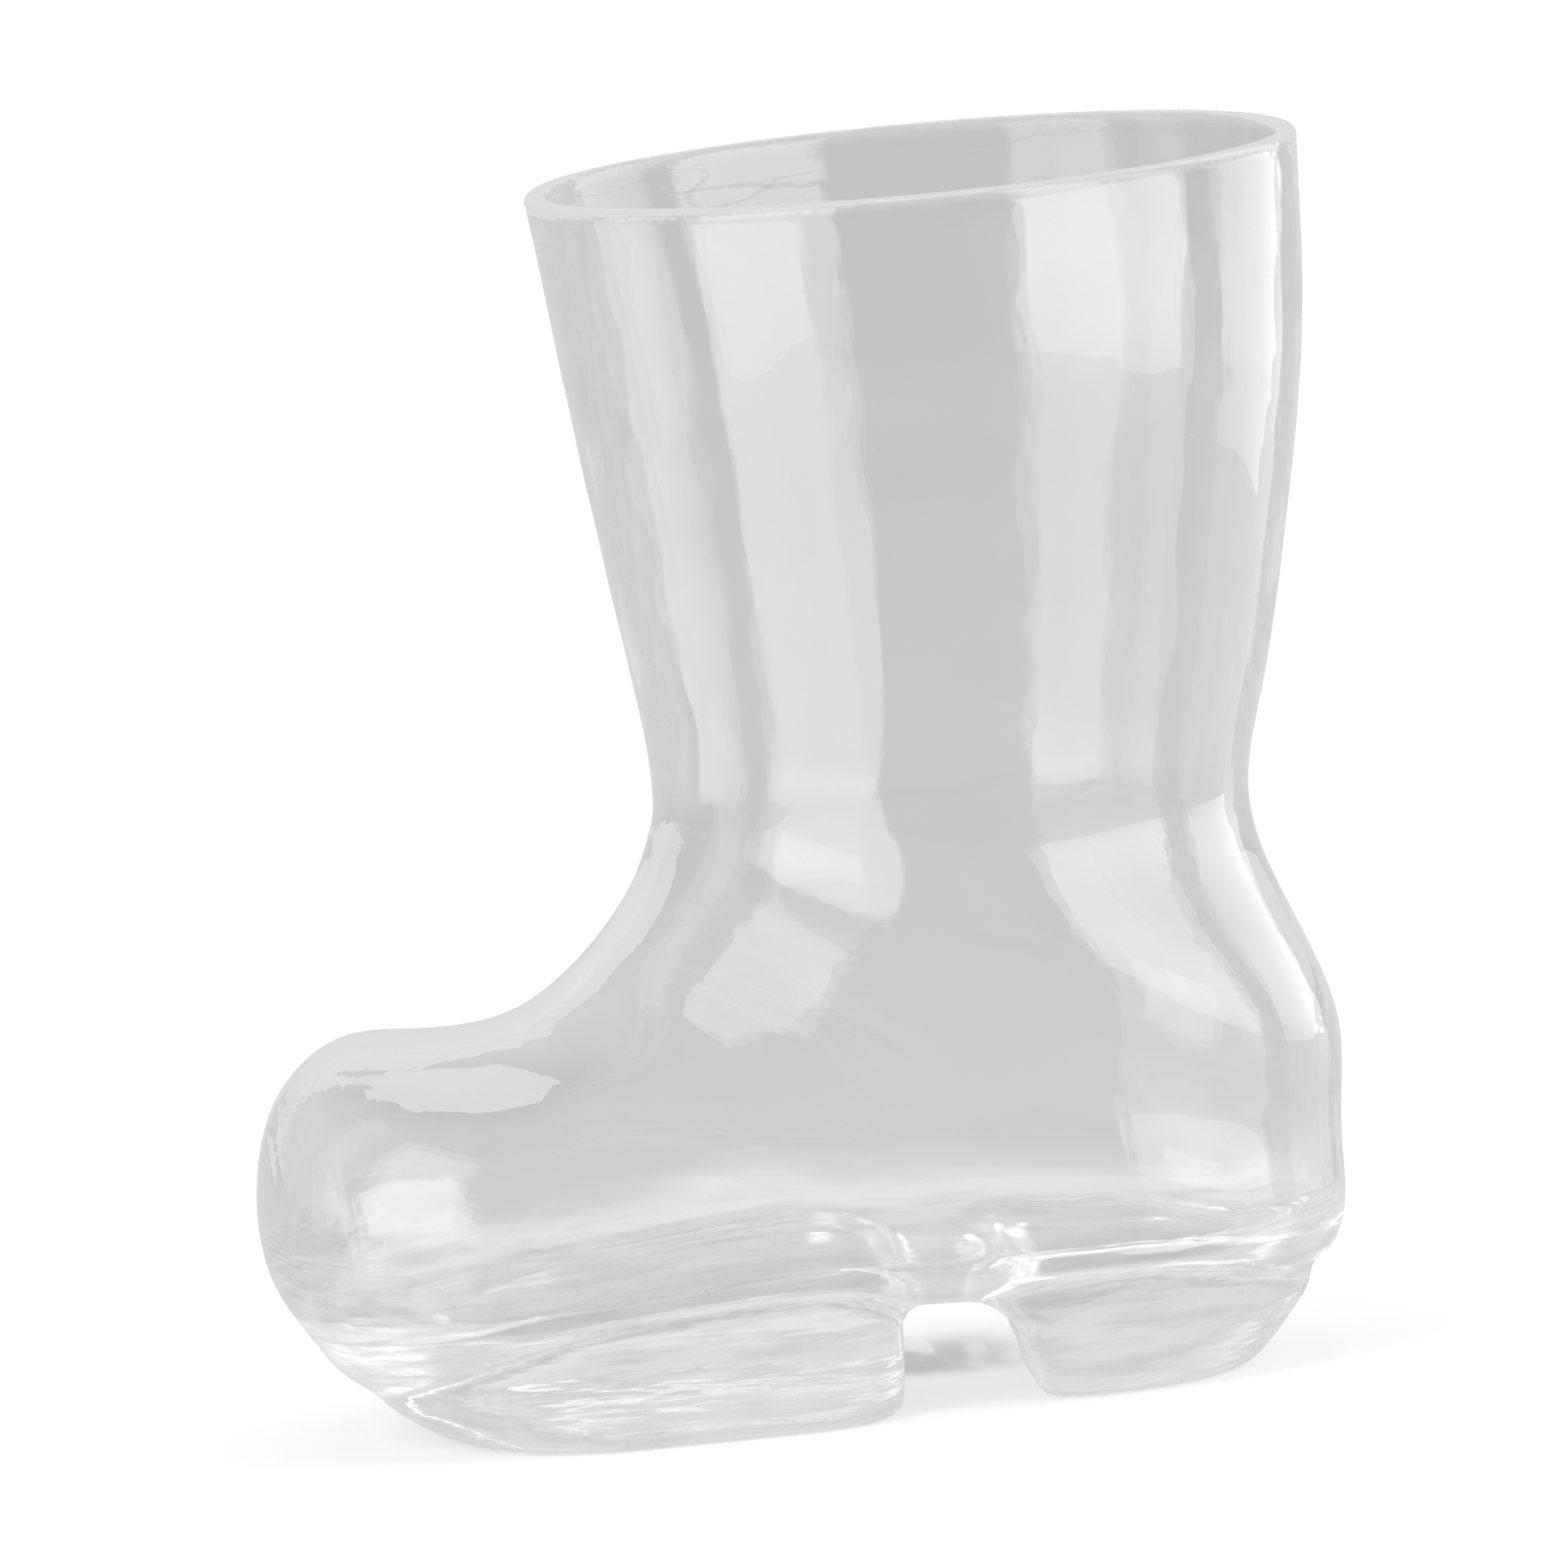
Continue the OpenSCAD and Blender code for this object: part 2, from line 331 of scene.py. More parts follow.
@dataclass(frozen=True)
class BlownWaves:
    """Soft waves that blowing and the cold mould leave in the wall, in millimetres."""

    long_run: tuple = (17, 17, 34)
    side_run: tuple = (13, 13, 9)
    side_shift: float = 40
    short_run: tuple = (6, 6, 14)
    inside_heights: tuple = (.16, .06, .03)
    outside_heights: tuple = (.05, .08, .018)
    ripple_run: tuple = (14, 14, 1.5)
    ripple_height: float = .06
    ripple_top: float = 12
    ripple_fade: float = 6
    table_fade: float = 1.5
    lip_fade: float = 4

    def wave(self, place: np.ndarray, run: tuple, shift: float = 0.0) -> float:
        """Smooth noise of about -1 to 1, with waves as long as the run."""
        x, y, z = place / run
        return noise.noise(Vector((x, y + shift, z)))

    def height_at(self, place: np.ndarray, within: bool) -> float:
        """Finds the height of all waves together at one place.

        Args:
            place: Place on the surface, in millimetres.
            within: True on the inside of the glass.

        Returns:
            Height along the normal, in millimetres.
        """
        long_height, side_height, short_height = (
            self.inside_heights if within else self.outside_heights)
        height = (long_height * self.wave(place, self.long_run)
                  + side_height * self.wave(place, self.side_run, self.side_shift)
                  + short_height * self.wave(place, self.short_run))
        base = 1 - min(1, max(0, (place[2] - self.ripple_top) / self.ripple_fade))
        if base and not within:
            height += self.ripple_height * self.wave(place, self.ripple_run) * base
        return height

    def heights(self, points: np.ndarray, inside: np.ndarray, top: float) -> np.ndarray:
        """Finds the wave height at every point, fading out at the table and at the lip.

        Args:
            points: Places on the surface, in metres.
            inside: True for each place on the inside.
            top: Height of the mouth, in millimetres.

        Returns:
            Height along the normal for each place, in metres.
        """
        places = points / MM
        out = np.array([self.height_at(p, within) for p, within in zip(places, inside)])
        near_table = np.clip(places[:, 2] / self.table_fade, 0, 1)
        near_lip = np.clip((top - places[:, 2]) / self.lip_fade, 0, 1)
        return out * MM * near_table * near_lip


@dataclass
class BootShell:
    """The blown and pressed boot: hollow body with a solid sole and heel.

    Lengths are in millimetres, and x runs from the tip of the toe until a form is placed.
    """

    sizes: BootSizes
    shares: BootShares
    waves: BlownWaves
    limits: tuple
    columns: int = 240
    rows_per_station: int = 16
    lip_rows: int = 8
    block_rows_per_station: int = 8
    slope_step: float = .02
    overrun: float = 1.0
    uncut: float = 2.0
    uncut_corner: float = 1.0
    ground_block: tuple = (100, 60, 40)
    voxel: float = 1.15
    lip_band: float = 3.0
    seam_width: float = .6
    seam_fade: float = 1.0
    seam_weight: float = .5
    seam_passes: int = 6
    fair_weights: tuple = (.5, -.52)
    fair_passes: int = 4

    def __post_init__(self) -> None:
        """Works out the splines of the outline, the half widths and the fullness."""
        s = self.sizes
        front, back = self.front_points(), self.back_points()
        self.last = len(front)
        self.length = max(s.foot_l, s.rim_setback + s.rim_d)
        self.outline = Spline(front + [(0, s.toe_tip_h)] + back[::-1])
        self.widths = Spline(self.half_widths())
        self.fullness = Spline(self.shares.fullness)

    def front_points(self) -> list[tuple[float, float]]:
        """Lists the stations down the front, from the mouth to just above the toe's tip.

        Returns:
            Setback and height of each station.
        """
        s, r = self.sizes, self.shares
        points = [(mix(s.rim_setback, s.ankle_setback, fore), mix(s.height, s.ankle_h, down))
                  for down, fore, _, _ in r.shaft]
        points.append((s.ankle_setback, s.ankle_h))
        points += [(s.ankle_setback * a, mix(s.toe_h, s.ankle_h, b)) for a, b in r.instep]
        points += [(s.ankle_setback * a, mix(s.toe_tip_h, s.toe_h, b)) for a, b in r.toe_top]
        return points

    def back_points(self) -> list[tuple[float, float]]:
        """Lists the stations down the back and along the underside to the toe.

        Returns:
            Setback and height of each station, from the mouth on.
        """
        s, r = self.sizes, self.shares
        mouth_back = s.rim_setback + s.rim_d
        ankle_back = s.ankle_setback + s.ankle_l
        drop = s.ankle_h * r.ankle_drop
        points = [(mix(mouth_back, ankle_back, aft), mix(s.height, s.ankle_h, down) - drop * lean)
                  for (down, _, aft, _), lean in zip(r.shaft, r.shaft_lean)]
        points.append((ankle_back, s.ankle_h - drop))
        points += [(s.foot_l * a, s.heel_tip_h * b) for a, b in reversed(r.heel_back)]
        points += [(s.foot_l * a, s.arch_h * b) for a, b in reversed(r.waist)]
        points += [(s.foot_l * a, s.toe_tip_h * b) for a, b in reversed(r.toe_under)]
        return points

    def half_widths(self) -> list[float]:
        """Lists half of the width at each station from the mouth to the toe's tip.

        Returns:
            One half width for each station.
        """
        s, r = self.sizes, self.shares
        widths = [mix(s.rim_d, s.ankle_w, wide) / 2 for _, _, _, wide in r.shaft]
        widths.append(s.ankle_w / 2)
        widths += [s.foot_w / 2 * share for share in r.foot_width]
        return widths + [0]

    def inward(self, u: float) -> np.ndarray:
        """Direction square to the outline at station u, into the glass."""
        run = self.outline.at(u + self.slope_step) - self.outline.at(u - self.slope_step)
        return np.array([-run[1], run[0]]) / np.hypot(*run)

    def angles(self) -> np.ndarray:
        """Angle of each column round a ring, in radians."""
        return np.arange(self.columns) * 2 * math.pi / self.columns

    def section(self, front: np.ndarray, back: np.ndarray, half_w: float, back_full: float,
                kept: float, corner: float) -> np.ndarray:
        """Closed section through the front and back points, widest halfway between them.

        Args:
            front: Point of the middle plane that the ring starts at.
            back: Point of the middle plane opposite the front.
            half_w: Half of the width.
            back_full: Fullness of the back half, where 2 is an ellipse.
            kept: Share of the way to the back point past which the ring is cut flat.
            corner: Share over which the corner of that cut is rounded.

        Returns:
            One row of x, y, z for each column.
        """
        a = self.angles()
        full = np.where(np.cos(a) > 0, self.shares.front_fullness, back_full)
        along = soft_min((1 - signed_power(np.cos(a), 2 / full)) / 2, kept, corner)
        side = signed_power(np.sin(a), 2 / full)
        place = front + (back - front) * along[:, None]
        return np.stack([place[:, 0], half_w * side, place[:, 1]], 1)

    def body_ring(self, u: float, inset: float) -> np.ndarray:
        """Ring of the outside.

        Args:
            u: Station number.
            inset: How far the ring is drawn in.

        Returns:
            One row of x, y, z for each column.
        """
        step = np.array([inset, 0])
        front = self.outline.at(u) + step
        back = self.outline.at(2 * self.last - u) - step
        half_w = float(self.widths.at(u)) - inset
        return self.section(front, back, half_w, float(self.fullness.at(u)),
                            self.uncut, self.uncut_corner)

    def floor_at(self, x: float) -> float:
        """Height of the inside floor, which rises over the arch by half a wave.

        Args:
            x: Place along the foot.

        Returns:
            Height above the table.
        """
        s = self.sizes
        rise = max(0, s.arch_h + s.arch_t - s.floor_h)
        away = abs(x - s.arch_setback - s.arch_l / 2) / (s.arch_l * self.shares.hump)
        return s.floor_h + rise * math.cos(min(math.pi / 2, math.pi / 2 * away)) ** 2

    def cavity_ring(self, u: float, depth: float) -> np.ndarray:
        """Ring of the inside, cut short by the floor.

        Args:
            u: Station number.
            depth: How far the ring lies inside the outside.

        Returns:
            One row of x, y, z for each column.
        """
        s = self.sizes
        v = 2 * self.last - u
        front = self.outline.at(u) + self.inward(u) * depth
        back = self.outline.at(v) + self.inward(v) * depth
        half_w = float(self.widths.at(u))
        thin = 1 - min(1, 2 * half_w / s.foot_w)
        drop = max(front[1] - back[1], s.wall)
        meet = (front[1] - s.floor_h) / drop
        kept = (front[1] - self.floor_at(mix(front[0], back[0], meet))) / drop
        return self.section(front, back, half_w - depth * (1 - thin * thin),
                            float(self.fullness.at(u)), kept, s.floor_r / drop)

    def lip(self) -> list[tuple[float, float]]:
        """Rows of the rounded lip.

        Returns:
            Station number and inset of each row, from the top down.
        """
        radius = self.sizes.wall * self.shares.lip
        reach = radius / (self.outline.points[0][1] - self.outline.points[1][1])
        turns = [math.pi / 2 * (1 - k / self.lip_rows) for k in range(self.lip_rows + 1)]
        return [(reach * (1 - math.sin(a)), radius * (1 - math.cos(a))) for a in turns]

    def stations(self) -> list[float]:
        """Station numbers of the rows below the lip."""
        steps, end = self.rows_per_station, self.lip()[-1][0]
        return [k / steps for k in range(1, self.last * steps) if k / steps > end]

    def body_rows(self) -> tuple[list, np.ndarray]:
        """Rings of the outside, and its tip.

        Returns:
            The rings, and the point that closes the last one.
        """
        tip = self.outline.points[self.last]
        rings = [self.body_ring(u, inset) for u, inset in self.lip()]
        rings += [self.body_ring(u, 0) for u in self.stations()]
        return rings, np.array([tip[0], 0, tip[1]])

    def cavity_rows(self) -> tuple[list, np.ndarray]:
        """Rings of the inside, from above the mouth, and its tip.

        Returns:
            The rings, and the point that closes the last one.
        """
        wall = self.sizes.wall
        radius = wall * self.shares.lip
        rings = [self.cavity_ring(0, wall - radius) + np.array([0, 0, self.overrun])]
        rings += [self.cavity_ring(u, wall - inset) for u, inset in self.lip()]
        rings += [self.cavity_ring(u, wall) for u in self.stations()]
        tip = self.outline.points[self.last] + self.inward(self.last) * wall
        return rings, np.array([tip[0], 0, tip[1]])

    def block_ring(self, end_x: float, mid_x: float, arch_x: float, half_w: float, z: float,
                   end_full: float) -> np.ndarray:
        """Level ring of a block with a round end and a squarer end at the arch.

        Args:
            end_x: Place of the round end.
            mid_x: Place where the ring is widest.
            arch_x: Place of the end at the arch.
            half_w: Half of the width.
            z: Height of the ring.
            end_full: Fullness of the round end.

        Returns:
            One row of x, y, z for each column.
        """
        a = self.angles()
        to_arch = np.cos(a) > 0
        full = np.where(to_arch, self.shares.arch_end_fullness, end_full)
        reach = np.where(to_arch, arch_x - mid_x, mid_x - end_x)
        x = mid_x + reach * signed_power(np.cos(a), 2 / full)
        y = half_w * signed_power(np.sin(a), 2 / full)
        return np.stack([x, y, np.full_like(x, z)], 1)

    def sole_ring(self, station: np.ndarray) -> np.ndarray:
        """Ring of the sole.

        Args:
            station: Shares of height, round end, half width and lean.

        Returns:
            One row of x, y, z for each column.
        """
        s, r = self.sizes, self.shares
        up, end, half, lean = station
        taper = s.arch_l - s.arch_top_l
        return self.block_ring(s.toe_overhang * end, s.arch_setback * r.sole_mid,
                               s.arch_setback + taper * lean, s.sole_w / 2 * half,
                               s.arch_h * r.block * up, r.sole_toe_fullness)

    def heel_ring(self, station: np.ndarray) -> np.ndarray:
        """Ring of the heel, which is a block turned end for end.

        Args:
            station: Shares of height, round end, half width and lean.

        Returns:
            One row of x, y, z for each column.
        """
        s, r = self.sizes, self.shares
        up, end, half, lean = station
        taper = s.arch_l - s.arch_top_l
        front = s.arch_setback + s.arch_l
        mid = mix(front, s.foot_l - s.heel_overhang, r.heel_mid)
        ring = self.block_ring(-(s.foot_l - s.heel_overhang * end), -mid, -(front - taper * lean),
                               s.heel_w / 2 * half, s.arch_h * r.block * up, r.heel_end_fullness)
        return ring * np.array([-1, -1, 1])

    def block_rows(self, part: MeshPart) -> list:
        """Rings of the sole or the heel, with rows added between the stations.

        Args:
            part: Which of the two blocks.

        Returns:
            The rings, from below.
        """
        table, ring = ((self.shares.sole, self.sole_ring) if part is MeshPart.SOLE
                       else (self.shares.heel, self.heel_ring))
        shape, steps = Spline(table), self.block_rows_per_station
        return [ring(shape.at(k / steps)) for k in range((len(table) - 1) * steps + 1)]

    def skin(self, rows: int, pointed: bool) -> list:
        """Faces between the rings of a form, and over its two ends.

        Args:
            rows: Number of rings.
            pointed: True where the last ring closes on a tip.

        Returns:
            Point numbers of each face.
        """
        cols = self.columns
        start = (rows - 1) * cols
        faces = [tuple(reversed(range(cols)))]
        for r in range(rows - 1):
            for k in range(cols):
                a, b = r * cols + k, r * cols + (k + 1) % cols
                faces.append((a, b, b + cols, a + cols))
        if pointed:
            faces += [(start + k, start + (k + 1) % cols, rows * cols) for k in range(cols)]
        else:
            faces.append(tuple(start + k for k in range(cols)))
        return faces

    def form(self, part: MeshPart) -> bpy.types.Object:
        """Builds one closed form, in metres in the frame of the part.

        Args:
            part: Which form.

        Returns:
            The new object.
        """
        tip = None
        if part is MeshPart.BODY:
            rings, tip = self.body_rows()
        elif part is MeshPart.CAVITY:
            rings, tip = self.cavity_rows()
        else:
            rings = self.block_rows(part)
        points = np.concatenate(rings + ([] if tip is None else [tip[None]]))
        points = (points - np.array([self.length / 2, 0, 0])) * MM
        return place_mesh(part.value, points.tolist(), self.skin(len(rings), tip is not None))

    def ground_cut(self) -> bpy.types.Object:
        """Builds the block below the table that trims the underside flat.

        Returns:
            The new object.
        """
        high = np.array(self.ground_block) * MM * (1, 1, 0)
        low = -np.array(self.ground_block) * MM
        points = [(x, y, z) for x in (low[0], high[0]) for y in (low[1], high[1])
                  for z in (low[2], high[2])]
        faces = [(0, 1, 3, 2), (4, 6, 7, 5), (0, 4, 5, 1), (2, 3, 7, 6), (0, 2, 6, 4), (1, 5, 7, 3)]
        return place_mesh("ground_cut", points, faces)

    def joined(self, forms: dict, ground: bpy.types.Object) -> bpy.types.Mesh:
        """Adds the sole and heel to the body, takes the cavity out and evens the faces.

        Args:
            forms: Object of each form.
            ground: Block that trims the underside.

        Returns:
            One even mesh of the whole glass.
        """
        base = forms[MeshPart.BODY]
        steps = [(Joining.ADD, forms[MeshPart.SOLE]), (Joining.ADD, forms[MeshPart.HEEL]),
                 (Joining.TAKE, forms[MeshPart.CAVITY]), (Joining.TAKE, ground)]
        for joining, other in steps:
            cut = base.modifiers.new(joining.name.lower(), "BOOLEAN")
            cut.operation = joining.value
            cut.solver = "MANIFOLD"
            cut.object = other
        remesh = base.modifiers.new("even_faces", "REMESH")
        remesh.mode = "VOXEL"
        remesh.voxel_size = self.voxel * MM
        graph = bpy.context.evaluated_depsgraph_get()
        mesh = bpy.data.meshes.new_from_object(base.evaluated_get(graph))
        mesh.materials.clear()
        return mesh

    def refine_lip(self, mesh: bpy.types.Mesh) -> None:
        """Halves the faces near the mouth, so that the thin lip is round.

        Args:
            mesh: Mesh of the whole glass, changed in place.
        """
        form = bmesh.new()
        form.from_mesh(mesh)
        limit = (self.sizes.height - self.lip_band) * MM
        edges = [e for e in form.edges if all(v.co.z > limit for v in e.verts)]
        bmesh.ops.subdivide_edges(form, edges=edges, cuts=1, use_grid_fill=True)
        form.to_mesh(mesh)
        form.free()

    def round_lip(self, points: np.ndarray) -> np.ndarray:
        """Moves the points near the mouth onto a full round as thick as the wall.

        Args:
            points: Place of every point, in metres.

        Returns:
            The new places.
        """
        s = self.sizes
        radius = s.wall / 2 * MM
        centre = np.array([(s.rim_setback + s.rim_d / 2 - self.length / 2) * MM, 0])
        flat = points[:, :2] - centre
        flat = flat / np.linalg.norm(flat, axis=1)[:, None] * (s.rim_d * MM / 2 - radius)
        ring = np.column_stack([flat + centre, np.full(len(points), s.height * MM - radius)])
        away = points - ring
        moved = ring + away / np.linalg.norm(away, axis=1)[:, None] * radius
        return np.where((points[:, 2] > s.height * MM - radius)[:, None], moved, points)

    def nearest(self, points: np.ndarray, trees: dict) -> tuple[np.ndarray, np.ndarray, np.ndarray]:
        """Finds the exact form that each point belongs to. The table counts as one more form.

        Args:
            points: Place of every point, in metres.
            trees: Search tree of each exact form.

        Returns:
            Nearest place on the forms, distance to the second nearest form, and whether the
            nearest one is the cavity, for each point.
        """
        count = len(points)
        near = np.empty((count, len(trees) + 1, 3))
        far = np.empty((count, len(trees) + 1))
        for i, p in enumerate(points):
            for j, tree in enumerate(trees.values()):
                near[i, j], _, _, far[i, j] = tree.find_nearest(Vector(p))
            near[i, -1] = (p[0], p[1], 0)
            far[i, -1] = abs(p[2])
        rank = np.argsort(far, axis=1)
        rows = np.arange(count)
        inside = rank[:, 0] == list(trees).index(MeshPart.CAVITY)
        return near[rows, rank[:, 0]], far[rows, rank[:, 1]], inside

    def hold(self, points: np.ndarray, second: np.ndarray) -> np.ndarray:
        """Finds how firmly each point keeps to its form: least where two forms meet.

        Args:
            points: Place of every point, in metres.
            second: Distance from each point to its second nearest form, in metres.

        Returns:
            Share from 0 to 1 for each point, in one column.
        """
        hold = np.clip((second / MM - self.seam_width) / self.seam_fade, 0, 1)[:, None]
        hold = hold * hold * (3 - 2 * hold)
        in_lip = (points[:, 2] > (self.sizes.height - self.lip_band) * MM)[:, None]
        return np.where(in_lip, 1, hold)

    def settle(self, mesh: bpy.types.Mesh, trees: dict) -> None:
        """Moves the points onto the exact forms, rounds the seams and adds the waves.

        Args:
            mesh: Even mesh of the whole glass, changed in place.
            trees: Search tree of each exact form.
        """
        links = Neighbours(mesh)
        co = point_values(mesh, "co")
        first, second, inside = self.nearest(co, trees)
        hold = self.hold(co, second)
        co = co + (first - co) * hold
        for _ in range(self.seam_passes):
            co = links.relax(co, (1 - hold) * self.seam_weight)
        for weight in self.fair_weights * self.fair_passes:
            co = links.relax(co, weight)
        co[:, 2] = np.maximum(co[:, 2], 0)
        co = self.round_lip(co)
        mesh.vertices.foreach_set("co", co.ravel())
        mesh.update()
        rise = self.waves.heights(co, inside, self.sizes.height)
        co = co + point_values(mesh, "normal") * rise[:, None]
        co = np.clip(co, *np.array([list(corner) for corner in self.limits]))
        mesh.vertices.foreach_set("co", co.ravel())
        mesh.polygons.foreach_set("use_smooth", np.ones(len(mesh.polygons), bool))
        mesh.update()

    def build(self) -> bpy.types.Object:
        """Builds the whole glass as one mesh.

        Returns:
            The glass, still without a material.
        """
        forms = {part: self.form(part) for part in MeshPart}
        ground = self.ground_cut()
        mesh = self.joined(forms, ground)
        trees = {part: BVHTree.FromPolygons([v.co.copy() for v in obj.data.vertices],
                                            [tuple(p.vertices) for p in obj.data.polygons])
                 for part, obj in forms.items()}
        for obj in [*forms.values(), ground]:
            bpy.data.objects.remove(obj)
        log.info("boot_shell: %d faces after the remesh", len(mesh.polygons))
        self.refine_lip(mesh)
        self.settle(mesh, trees)
        mesh.name = "boot_shell"
        shell = bpy.data.objects.new("boot_shell", mesh)
        bpy.context.scene.collection.objects.link(shell)
        return shell

    def dress(self, shell: bpy.types.Object, material: bpy.types.Material) -> None:
        """Gives the glass its finish, and lets it stand for the CAD node.

        Args:
            shell: The finished mesh of the glass.
            material: Finish of the whole piece.
        """
        shell.data.materials.append(material)
        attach(shell, "root")
        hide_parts("boot_glass")
        log.info("boot_shell: %d points", len(shell.data.vertices))


@dataclass(frozen=True)
class SodaLimeGlass:
    """Clear soda-lime glass, pressed and blown in an iron mould, then fire-polished.

    Fire polish melts the skin smooth, so the eye gets sharp mirror images and a clear view
    through the wall. The solid base cooled against the iron, which leaves level chill marks:
    soft streaks that blur and grey what lies behind them. Seeds, the small bubbles of
    bottle-grade glass, show as points that bend the light.
    """

    colour: str = "#FCFCFC"
    ior: float = 1.52
    # The chill marks fade out between these two heights, in metres. Past the toe's reach from the
    # middle of the part, also in metres, both heights rise at this slope.
    base_height: tuple = (.0155, .021)
    toe_reach: float = .045
    toe_rise: float = .5
    base_roughness: float = .12
    # Real chill marks are a few tenths of a millimetre apart, too fine to show here, so that
    # these are drawn coarser, in millimetres
    press_run: float = 10.0
    press_step: float = 1.5
    press_height: float = .15
    press_detail: float = 2.0
    streak_colour: str = "#E2E3E3"
    streak_range: tuple = (.45, .7)
    # Real seeds are mostly a tenth or two of a millimetre wide, too fine to show here, so that
    # these are drawn larger, in millimetres
    seed_gap: float = 11.0
    seed_radius: float = .3
    seed_height: float = .03
    # Painted glow that stands in for the light of the rays that stay trapped in the glass
    # after this many mirrorings
    deep_light: float = .36
    deep_bounces: float = 3.5

    def painted_trapped_glow(self, tree: bpy.types.NodeTree) -> bpy.types.NodeSocket:
        """Adds a painted glow for the light that the longest paths in the glass would still carry.

        Args:
            tree: Node tree of the glass.

        Returns:
            Socket with the strength of that light.
        """
        path = add_node(tree, "ShaderNodeLightPath")
        trapped = add_node(tree, "ShaderNodeMath", {"operation": "GREATER_THAN"},
                           {0: path.outputs["Glossy Depth"], 1: self.deep_bounces})
        carried = add_node(tree, "ShaderNodeMath", {"operation": "MULTIPLY"},
                           {0: trapped.outputs[0], 1: self.deep_light})
        return carried.outputs[0]

    def base_mask(self, tree: bpy.types.NodeTree,
                  place: bpy.types.NodeSocket) -> bpy.types.NodeSocket:
        """Marks the solid base, whose top edge rises at the toe.

        Args:
            tree: Node tree of the glass.
            place: Socket with the place on the piece.

        Returns:
            Socket that is 1 in the base and fades to 0 above it.
        """
        axes = add_node(tree, "ShaderNodeSeparateXYZ", inputs={0: place})
        to_toe = add_node(tree, "ShaderNodeMath", {"operation": "ADD"},
                          {0: axes.outputs["X"], 1: self.toe_reach})
        toe = add_node(tree, "ShaderNodeMath", {"operation": "MINIMUM"},
                       {0: to_toe.outputs[0], 1: 0.0})
        height = add_node(tree, "ShaderNodeMath", {"operation": "MULTIPLY_ADD"},
                          {0: toe.outputs[0], 1: self.toe_rise, 2: axes.outputs["Z"]})
        base = add_node(tree, "ShaderNodeMapRange", {"interpolation_type": "SMOOTHSTEP"},
                        {"Value": height.outputs[0], "From Min": self.base_height[0],
                         "From Max": self.base_height[1], "To Min": 1.0, "To Max": 0.0})
        return base.outputs[0]

    def chill_marks(self, tree: bpy.types.NodeTree, place: bpy.types.NodeSocket,
                    base: bpy.types.NodeSocket) -> bpy.types.NodeSocket:
        """Adds the level streaks that the iron mould leaves in the base.

        Args:
            tree: Node tree of the glass.
            place: Socket with the place on the piece.
            base: Socket that marks the base.

        Returns:
            Socket with the height of the streaks as a share.
        """
        stretch = add_node(tree, "ShaderNodeMapping", inputs={
            "Vector": place,
            "Scale": (1 / (self.press_run * MM), 1 / (self.press_run * MM),
                      1 / (self.press_step * MM))})
        streaks = add_node(tree, "ShaderNodeTexNoise", inputs={
            "Vector": stretch.outputs[0], "Scale": 1.0, "Detail": self.press_detail})
        press = add_node(tree, "ShaderNodeMath", {"operation": "MULTIPLY"},
                         {0: streaks.outputs[0], 1: base})
        return press.outputs[0]

    def seeds(self, tree: bpy.types.NodeTree, place: bpy.types.NodeSocket) -> bpy.types.NodeSocket:
        """Adds the small bubbles, one to each cell of the seed gap.

        Args:
            tree: Node tree of the glass.
            place: Socket with the place on the piece.

        Returns:
            Socket with the height of the seeds as a share of the press height.
        """
        gaps = add_node(tree, "ShaderNodeTexVoronoi", inputs={
            "Vector": place, "Scale": 1 / (self.seed_gap * MM)})
        seeds = add_node(tree, "ShaderNodeMapRange", {"interpolation_type": "SMOOTHSTEP"}, {
            "Value": gaps.outputs["Distance"], "From Min": 0.0,
            "From Max": self.seed_radius / self.seed_gap,
            "To Min": self.seed_height / self.press_height, "To Max": 0.0})
        return seeds.outputs[0]

    def material(self) -> bpy.types.Material:
        """Builds the node material of the glass.

        Returns:
            The new material.
        """
        material = bare_material("soda_lime_glass")
        tree = material.node_tree
        place = add_node(tree, "ShaderNodeTexCoord").outputs["Object"]
        base = self.base_mask(tree, place)
        press = self.chill_marks(tree, place, base)
        grain = add_node(tree, "ShaderNodeMath", {"operation": "MULTIPLY"},
                         {0: base, 1: self.base_roughness})
        relief = add_node(tree, "ShaderNodeMath", {"operation": "ADD"},
                          {0: press, 1: self.seeds(tree, place)})
        bump = add_node(tree, "ShaderNodeBump", inputs={
            "Height": relief.outputs[0], "Strength": 1.0, "Distance": self.press_height * MM})
        dense = add_node(tree, "ShaderNodeMapRange", inputs={
            "Value": press, "From Min": self.streak_range[0], "From Max": self.streak_range[1]})
        # Sockets 0, 6 and 7 are the mixer's factor and its two colours, and output 2 its colour
        tint = add_node(tree, "ShaderNodeMix", {"data_type": "RGBA"}, {
            0: dense.outputs[0], 6: hex_linear(self.colour), 7: hex_linear(self.streak_colour)})
        # The glass glows with a painted light for rays trapped deep in it
        shader = add_node(tree, "ShaderNodeBsdfPrincipled", inputs={
            "Base Color": tint.outputs[2], "IOR": self.ior,
            "Roughness": grain.outputs[0], "Normal": bump.outputs[0],
            "Transmission Weight": 1.0, "Emission Color": hex_linear(WHITE),
            "Emission Strength": self.painted_trapped_glow(tree)})
        add_node(tree, "ShaderNodeOutputMaterial", inputs={"Surface": shader.outputs[0]})
        return material


def seen_by(tree: bpy.types.NodeTree) -> dict:
    """Tells the camera's rays from those that glass reflects or lets through.

    Args:
        tree: Node tree that gets the nodes.

    Returns:
        Sockets named camera and glass, each 1 for its own rays.
    """
    path = add_node(tree, "ShaderNodeLightPath")
    glass = add_node(tree, "ShaderNodeMath", {"operation": "MAXIMUM"},
                     {0: path.outputs["Is Glossy Ray"], 1: path.outputs["Is Transmission Ray"]})
    return {"camera": path.outputs["Is Camera Ray"], "glass": glass.outputs[0]}


